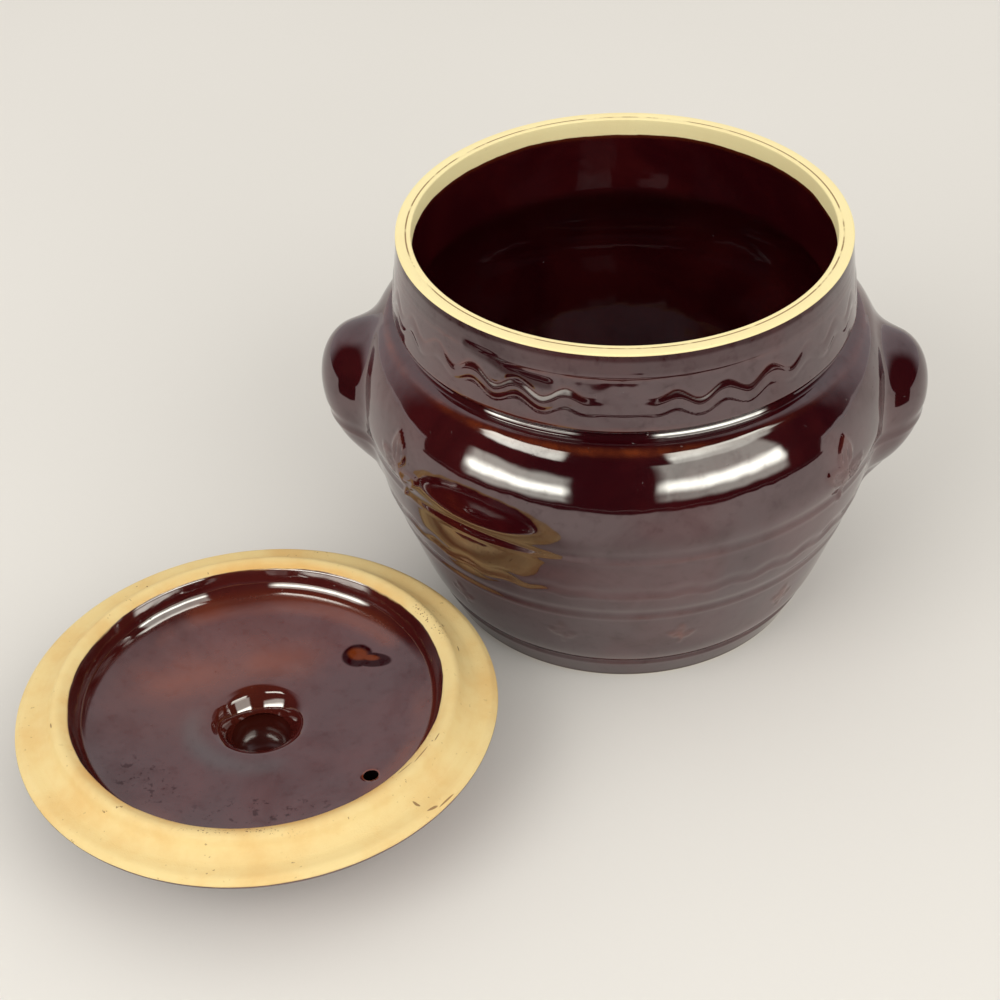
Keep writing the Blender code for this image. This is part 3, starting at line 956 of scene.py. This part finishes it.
def fired_material(name, x, y, look):
    """Glaze and bare clay, with a look worked out round an axis at x, y."""
    made, tree = new_material(name)
    shader = tree.nodes["Principled BSDF"]
    place = node(tree, "ShaderNodeMapping", {
        "Vector": node(tree, "ShaderNodeTexCoord").outputs["Object"],
        "Location": (-x * MM, -y * MM, 0.0),
    }).outputs[0]
    split = node(tree, "ShaderNodeSeparateXYZ", {0: place}).outputs
    radius = maths("SQRT", total(product(split["X"], split["X"]), product(split["Y"], split["Y"])))
    glaze, clay, bare, amber, dull, rougher = look(place, radius, split["Z"])
    thin = node(tree, "ShaderNodeAttribute", attribute_name="thin").outputs["Fac"]
    worn = product(thin, total(patches(place, *THIN_BREAKS), THIN_BREAKS_LEAST),
                   total(patches(place, *THIN_DRIFTS), THIN_DRIFTS_LEAST))
    pool = smooth_step(thin, 0.0, POOL_FULL)
    glaze = mix(maths("ADD", worn, amber, clamp=True), mix(pool, glaze, GLAZE_DARK), GLAZE_AMBER)
    link_or_set(shader.inputs["Base Color"], mix(bare, glaze, clay))
    fired_gloss(shader, place, bare, pool, dull, rougher)
    swim = product(noise(place, *SWIM_NOISE), SWIM_TALL * MM)
    grit = product(noise(place, *GRIT_NOISE), product(bare, GRIT_TALL * MM))
    height = total(swim, patches(place, *PITS), grit)
    bump = node(tree, "ShaderNodeBump", {"Height": height, "Strength": 1.0, "Distance": 1.0})
    link_or_set(shader.inputs["Normal"], bump.outputs[0])
    return made


def pot_look(place, radius, height):
    """Dark glaze with a bare rim, a bare band inside the mouth and a bare base, and gloss cut under the
    rim outside as a painted dark reflection.
    """
    uneven = total(height, wander(place, *BAND_WANDER))
    top = ramp(height, *BARE_TOP)
    inside = ramp(radius, *INSIDE_MOUTH)
    bare = largest(top, product(inside, ramp(uneven, *BARE_BAND)), ramp(height, *BARE_BASE))
    fringe = product(inside, ramp(uneven, *AMBER_FRINGE))
    glaze = mix(patches(place, *GLAZE_DRIFT), GLAZE_DARK, GLAZE_RED)
    line = product(ramp(off_line(radius, MOUTH_R + RIM_LINE_IN), *RIM_LINE_STAIN),
                   patches(place, *RIM_LINE_BREAKS), top)
    clay = mix(RIM_CLAY_LIGHT, clay_colour(place, radius, 0.0), CLAY_LIGHT)
    clay = mix(line, clay, CLAY_STAIN)
    # Cut gloss on the collar's top: painted dark reflection
    dull = product(total(ramp(uneven, *PAINTED_REFLECTION_BAND), ramp(uneven, *PAINTED_REFLECTION_EDGE)), ramp(radius, *OUTSIDE_RIM))
    return glaze, clay, bare, fringe, dull, None


def blob(place, x, y, long, wide, lean):
    """Oval on the lid, sizes in millimetres: 1 in its middle, 0 at its edge."""
    tree = place.id_data
    within = node(tree, "ShaderNodeMapping", {
        "Vector": place,
        "Location": (x * MM, y * MM, 0.0),
        "Rotation": (0.0, 0.0, radians(lean)),
        "Scale": (long * MM, wide * MM, 1.0),
    }, vector_type="TEXTURE").outputs[0]
    split = node(tree, "ShaderNodeSeparateXYZ", {0: within}).outputs
    flat = node(tree, "ShaderNodeCombineXYZ", {"X": split["X"], "Y": split["Y"]}).outputs[0]
    away = node(tree, "ShaderNodeVectorMath", {0: flat}, operation="LENGTH").outputs["Value"]
    return difference(1.0, away)


def marks(place, ragged, rows):
    """Ragged ovals on the lid, the strongest one where they overlap."""
    shares = []
    for x, y, long, wide, lean, wild, *change in rows:
        oval = blob(place, x, y, long, wide, lean)
        shares.append(smooth_step(total(oval, product(ragged, wild)), *change))
    return largest(*shares)


def hole_ring(place, wider, full, most):
    """Ring round the steam hole, this much wider than it."""
    size = STEAM_HOLE_R + wider
    return smooth_step(blob(place, *STEAM_HOLE_PLACE, size, size, 0.0), 0.0, full, most)


def lid_glaze(place, radius, height, ragged):
    """The lid's glaze: its colour, where it is amber, dull and rougher, the painted shade in the steam
    hole and the knob's hollow, and the comma's painted dark reflection.
    """
    dark_comma_reflection = marks(place, ragged, COMMA)
    flecks = product(patches(place, *FLECK_GRAIN), marks(place, ragged, FLECKS))
    scum = product(ramp(off_line(radius, FUNNEL_R + SCUM_OUT), *SCUM_RING), marks(place, ragged, SCUM))
    painted_hole_shade = hole_ring(place, *HOLE_SHADE_RING)
    glaze = mix(patches(place, *GLAZE_DRIFT), LID_DEEP, LID_LIGHT)
    glaze = mix(product(flecks, FLECKS_DARK), glaze, GLAZE_DARK)
    glaze = mix(scum, glaze, GLAZE_SCUM)
    # Painted dark reflection on the comma
    glaze = mix(dark_comma_reflection, glaze, GLAZE_DARK)
    # The steam hole's wall is painted near-black: painted shade
    glaze = mix(painted_hole_shade, glaze, HOLE_PAINTED_SHADE)
    clouds = largest(marks(place, ragged, CLOUDS),
                     product(patches(place, *WALL_CLOUDS), ramp(radius, *ON_WALL)))
    amber = largest(total(marks(place, ragged, WARMTH), clouds), marks(place, ragged, COMMA_HEART),
                    hole_ring(place, *HOLE_LIP))
    amber = product(amber, ramp(height, *LOW_DOWN), difference(1.0, painted_hole_shade))
    in_hollow = product(ramp(height, *HOLLOW_TOP), ramp(radius, *HOLLOW_SIDE))
    corner = product(ramp(radius, *CORNER_OUT), ramp(radius, *CORNER_IN), ramp(height, *OVER_FLOOR))
    # Gloss is cut for the flecks, and as painted shade in the steam hole and the knob's hollow and a
    # painted dark reflection on the comma
    dull = largest(product(dark_comma_reflection, COMMA_PAINTED_REFLECTION), product(flecks, FLECKS_DULL), painted_hole_shade,
                   product(in_hollow, HOLLOW_PAINTED_SHADE))
    rougher = largest(product(in_hollow, HOLLOW_ROUGHER), painted_hole_shade, product(corner, CORNER_ROUGHER))
    return glaze, amber, dull, rougher


def lid_look(place, radius, height):
    """Redder glaze on the dish, and bare clay on the ring, seat and edge."""
    ragged = wander(place, *MARKS_WANDER)
    wobble = wander(place, *LIP_WANDER)
    reach = total(radius, wobble)
    uneven = total(height, product(wobble, BARE_EDGE_WANDER))
    bare = product(ramp(reach, *BARE_LIP), ramp(uneven, *BARE_EDGE))
    clay = clay_colour(place, radius, product(ramp(reach, *STAIN), patches(place, *STAIN_PATCHES)))
    clay = mix(product(patches(place, *DIRT_GRAIN), marks(place, ragged, DIRT)), clay, CLAY_STAIN)
    for chip in CHIPS:
        clay = mix(marks(place, ragged, [(*chip, *CHIP_EDGE)]), clay, CLAY_STAIN)
    glaze, amber, dull, rougher = lid_glaze(place, radius, height, ragged)
    return glaze, clay, bare, amber, dull, rougher


def floor_material():
    """Plain pale table."""
    made, tree = new_material("pale_table")
    shader = tree.nodes["Principled BSDF"]
    place = node(tree, "ShaderNodeTexCoord").outputs["Object"]
    link_or_set(shader.inputs["Base Color"], mix(noise(place, TABLE_CLOUDS), *TABLE_TONES))
    shader.inputs["Roughness"].default_value = TABLE_ROUGH
    shader.inputs["Specular IOR Level"].default_value = TABLE_SPECULAR
    return made


# Pieces

def make_wall(finish):
    """Outer half of the pot with its lugs, waves, rings, sprigs and seams."""
    wall = turned("pot_wall", wall_outline(), WALL_SIDES, finish)
    swell_lugs(wall)
    for z, line in BODY_WAVE_LINES:
        relief(wall, [wave(on_wall, z, BODY_SWING, BODY_WAVES, BODY_CREST_TURN)], line, finish)
    for heights, line in BODY_RING_LINES:
        relief(wall, [ring(on_wall, z) for z in heights], line, finish)
    for turns, z, size, line in SPRIGS:
        relief(wall, [path for turn in turns for path in sprig(radians(turn), z, size)], line, finish)
    relief(wall, [circle(LEDGE_R, LEDGE_Z)], LEDGE_LINE, finish)
    relief(wall, seams(on_wall, BODY_SEAM_ZS), BODY_SEAM_LINE, finish)
    return wall


def make_liner(finish):
    """Inner half of the pot: collar with its waves and run of glaze, rim and inside."""
    liner = turned("pot_liner", liner_outline(), COLLAR_SIDES, finish)
    for z, swing, lift, line in COLLAR_WAVE_LINES:
        relief(liner, [wave(on_collar, z, swing, COLLAR_WAVES, COLLAR_CREST_TURN, lift)], line, finish)
    for z, line in COLLAR_RING_LINES:
        relief(liner, [ring(on_collar, z)], line, finish)
    relief(liner, [[on_collar(radians(turn), z) for turn, z in GLAZE_RUN]], GLAZE_RUN_LINE, finish)
    relief(liner, seams(on_collar, COLLAR_SEAM_ZS), COLLAR_SEAM_LINE, finish)
    return liner


def make_pot():
    """The pot in two closed halves that meet in the crease under the collar."""
    finish = fired_material("pot_glaze_brown", 0.0, 0.0, pot_look)
    wall = make_wall(finish)
    liner = make_liner(finish)
    for piece in (wall, liner):
        coat(piece, finish)
        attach(piece, "pot")
    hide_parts("pot_body", "right_lug", "left_lug")
    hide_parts("pot_body")


def sink_round(piece, x, y):
    """Sink the upper surface a little round the steam hole."""
    shape = bmesh.new()
    shape.from_mesh(piece.data)
    for vertex in shape.verts:
        away = hypot(vertex.co.x - x * MM, vertex.co.y - y * MM)
        share = 1.0 - (away - STEAM_HOLE_R * MM) / (STEAM_HOLE_LIP * MM)
        if 0.0 < share and vertex.normal.z > 0.5:
            vertex.co.z -= STEAM_HOLE_LIP_DOWN * MM * min(share, 1.0) ** 2
    shape.to_mesh(piece.data)
    shape.free()


def pierce(piece, x, y):
    """Upright round steam hole through a piece."""
    middle = (x * MM, y * MM, (dome(STEAM_HOLE_AT) + LID_WALL / 2) * MM)
    rod = bmesh.new()
    bmesh.ops.create_cone(rod, cap_ends=True, segments=HOLE_SIDES, radius1=STEAM_HOLE_R * MM,
                          radius2=STEAM_HOLE_R * MM, depth=4 * LID_WALL * MM,
                          matrix=Matrix.Translation(middle))
    cutter = add_object("rod", bpy.data.meshes.new("rod"))
    rod.to_mesh(cutter.data)
    rod.free()
    hole = piece.modifiers.new("hole", "BOOLEAN")
    hole.operation = "DIFFERENCE"
    hole.solver = "EXACT"
    hole.object = cutter
    keep_result(piece, hole)
    bpy.data.objects.remove(cutter, do_unlink=True)
    piece.data.shade_smooth()
    piece.data.set_sharp_from_angle(angle=SHARP_FROM)


def make_lid():
    """The lid with its hollow knob, turned in one piece and pierced."""
    finish = fired_material("lid_glaze_brown", LID_X, LID_Y, lid_look)
    lid = turned("lid_stoneware", lid_outline(), LID_SIDES, finish)
    relief(lid, [circle(DISH_LIP_R, LIP_Z)], DISH_LIP_LINE, finish)
    lid.data.transform(Matrix.Translation((LID_X * MM, LID_Y * MM, 0.0)))
    hole = (LID_X + STEAM_HOLE_PLACE[0], LID_Y + STEAM_HOLE_PLACE[1])
    sink_round(lid, *hole)
    pierce(lid, *hole)
    coat(lid, finish)
    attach(lid, "lid")
    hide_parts("lid")


# Camera, light and surroundings

FLOOR_R = 1.9
FLOOR_SIDES = 128
ROOM_R = 3.2
ROOM_FROM = radians(1)
ROOM_TO = radians(89.5)
ROOM_ROWS = 24
ROOM_SIDES = 96
ROOM_TURNS_DARK = (radians(58), radians(86))
ROOM_RISES_DARK = (radians(64), radians(84))
ROOM_PALE = (0.63, 0.61, 0.61)
ROOM_DIM = (0.016, 0.014, 0.014)
PALE_WORLD = (0.79, 0.775, 0.74)
LAMP_AWAY = 2.6
LAMPS = (
    ("lamp_left", radians(-136), radians(36), 1.8, 1.8, 2.30),
    ("lamp_right", radians(136), radians(36), 2.2, 1.8, 1.90),
)
LAMP_TINT = (1.0, 0.985, 0.96)
LOOK_AT = Vector((-0.03, -0.03, 0.07))

# Low end of the table and reflector screen, round sheets in front that are seen only in the gloss
TABLE_END_R = 0.43
TABLE_END_TALL = 0.017
SHEET_FOOT = 0.0005
SCREEN_SIDES = 160
SCREEN_R = 0.50
SCREEN_TALL = 0.76
SCREEN_FROM = radians(102)
SCREEN_DARK = 0.014
SCREEN_SOFT = 0.022
SCREEN_COLOUR = (1.0, 1.11, 0.95)
# Windows in the screen: sides in degrees from straight behind the pot, lowest and highest in metres,
# glow, and a brighter band across: its height, half its width, and what it adds
SCREEN_WINDOWS = (
    (-160, -121, 0.030, 0.232, 2.5, 0.125, 0.060, 9.4),
    (-152, -112, 0.490, 0.650, 5.6, 0.570, 0.060, 0.8),
    (118, 166, 0.055, 0.480, 1.9, 0.175, 0.070, 10.5),
    (104, 158, 0.480, 0.700, 3.4, 0.620, 0.090, 2.6),
)


def make_camera():
    """Camera where the photograph was taken from."""
    forward = Vector((sin(CAMERA_YAW) * cos(CAMERA_PITCH), cos(CAMERA_YAW) * cos(CAMERA_PITCH),
                      -sin(CAMERA_PITCH)))
    level = Vector((cos(CAMERA_YAW), -sin(CAMERA_YAW), 0.0))
    above = level.cross(forward)
    right = cos(CAMERA_ROLL) * level + sin(CAMERA_ROLL) * above
    up = -sin(CAMERA_ROLL) * level + cos(CAMERA_ROLL) * above
    data = bpy.data.cameras.new("camera")
    data.lens = CAMERA_LENS
    data.sensor_width = CAMERA_SENSOR
    data.clip_start = 0.01
    camera = add_object("camera", data)
    turn = Matrix((right, up, -forward)).transposed().to_4x4()
    camera.matrix_world = Matrix.Translation(Vector(CAMERA_AT) * MM) @ turn
    bpy.context.scene.camera = camera


def make_lamp(name, azimuth, elevation, width, height, radiance):
    """Rectangular light that faces the table; azimuth 0 is behind the pot."""
    data = bpy.data.lights.new(name, "AREA")
    data.shape = "RECTANGLE"
    data.size = width
    data.size_y = height
    data.energy = radiance * pi * width * height
    data.color = LAMP_TINT
    light = add_object(name, data)
    away = Vector((sin(azimuth) * cos(elevation), cos(azimuth) * cos(elevation), sin(elevation)))
    light.location = LOOK_AT + LAMP_AWAY * away
    light.rotation_euler = away.to_track_quat("Z", "Y").to_euler()
    light.visible_camera = False
    light.visible_glossy = False


def round_sheet(name, rows, start, end, sides, finish):
    """Thin round sheet; rows are radius and height in metres."""
    turns = [start + (end - start) * i / sides for i in range(sides + 1)]
    points = [(r * sin(t), r * cos(t), z) for r, z in rows for t in turns]
    wide = sides + 1
    faces = []
    for row in range(len(rows) - 1):
        for i in range(sides):
            first = row * wide + i
            faces.append((first, first + 1, first + 1 + wide, first + wide))
    mesh = bpy.data.meshes.new(name)
    mesh.from_pydata(points, [], faces)
    mesh.materials.append(finish)
    made = add_object(name, mesh)
    made.visible_camera = False
    made.visible_diffuse = False
    made.visible_shadow = False
    return made


def front_sheet(name, radius, tall, finish):
    """Upright round sheet that stands open toward the back, sizes in metres."""
    return round_sheet(name, [(radius, SHEET_FOOT), (radius, tall)], SCREEN_FROM, 2 * pi - SCREEN_FROM,
                       SCREEN_SIDES, finish)


def glowing_material(name):
    """Material that only glows, with the turn and height of its points."""
    made, tree = new_material(name)
    tree.nodes.clear()
    lit = node(tree, "ShaderNodeEmission")
    node(tree, "ShaderNodeOutputMaterial", {"Surface": lit.outputs[0]})
    place = node(tree, "ShaderNodeTexCoord").outputs["Object"]
    split = node(tree, "ShaderNodeSeparateXYZ", {0: place}).outputs
    return made, lit, maths("ARCTAN2", split["X"], split["Y"]), split["Z"]


def between(value, low, high, soft):
    """1 between low and high and 0 outside them, with a soft change."""
    return product(smooth_step(value, low - soft, low + soft),
                   smooth_step(value, high + soft, high - soft))


def screen_material():
    """Dark screen with glowing windows that fade at their edges."""
    made, lit, turn, height = glowing_material("screen_windows")
    glow = SCREEN_DARK
    for left, right, low, high, level, band, reach, extra in SCREEN_WINDOWS:
        inside = product(between(turn, radians(left), radians(right), SCREEN_SOFT / SCREEN_R),
                         between(height, low, high, SCREEN_SOFT))
        off = maths("ABSOLUTE", difference(height, band))
        glow = total(glow, product(inside, total(level, smooth_step(off, reach, 0.0, extra))))
    lit.inputs["Color"].default_value = colour(SCREEN_COLOUR)
    link_or_set(lit.inputs["Strength"], glow)
    return made


def room_material():
    """Pale wall behind the table and a dim room in front of it."""
    made, lit, turn, height = glowing_material("room_walls")
    low, high = (ROOM_R * sin(rise) for rise in ROOM_RISES_DARK)
    far = largest(smooth_step(maths("ABSOLUTE", turn), *ROOM_TURNS_DARK), smooth_step(height, low, high))
    link_or_set(lit.inputs["Color"], mix(far, ROOM_PALE, ROOM_DIM))
    lit.inputs["Strength"].default_value = 1.0
    return made


def make_surroundings():
    """Pale table, the room that shows in the gloss, and the screen round the front."""
    shape = bmesh.new()
    bmesh.ops.create_circle(shape, cap_ends=True, segments=FLOOR_SIDES, radius=FLOOR_R)
    mesh = bpy.data.meshes.new("table")
    shape.to_mesh(mesh)
    shape.free()
    table = add_object("table", mesh)
    mesh.materials.append(floor_material())
    rises = [ROOM_FROM + (ROOM_TO - ROOM_FROM) * row / ROOM_ROWS for row in range(ROOM_ROWS + 1)]
    room = round_sheet("room", [(ROOM_R * cos(a), ROOM_R * sin(a)) for a in rises], 0.0, 2 * pi,
                       ROOM_SIDES, room_material())
    screen = front_sheet("screen", SCREEN_R, SCREEN_TALL, screen_material())
    step = front_sheet("table_end", TABLE_END_R, TABLE_END_TALL, room_material())
    world = bpy.data.worlds.new("pale_world")
    world.use_nodes = True
    world.node_tree.nodes["Background"].inputs["Color"].default_value = colour(PALE_WORLD)
    bpy.context.scene.world = world
    for lamp in LAMPS:
        make_lamp(*lamp)


LATHE = lathe_tree()
RELIEF = relief_tree()
make_camera()
make_surroundings()
make_pot()
make_lid()
bpy.context.scene.view_settings.view_transform = "Standard"
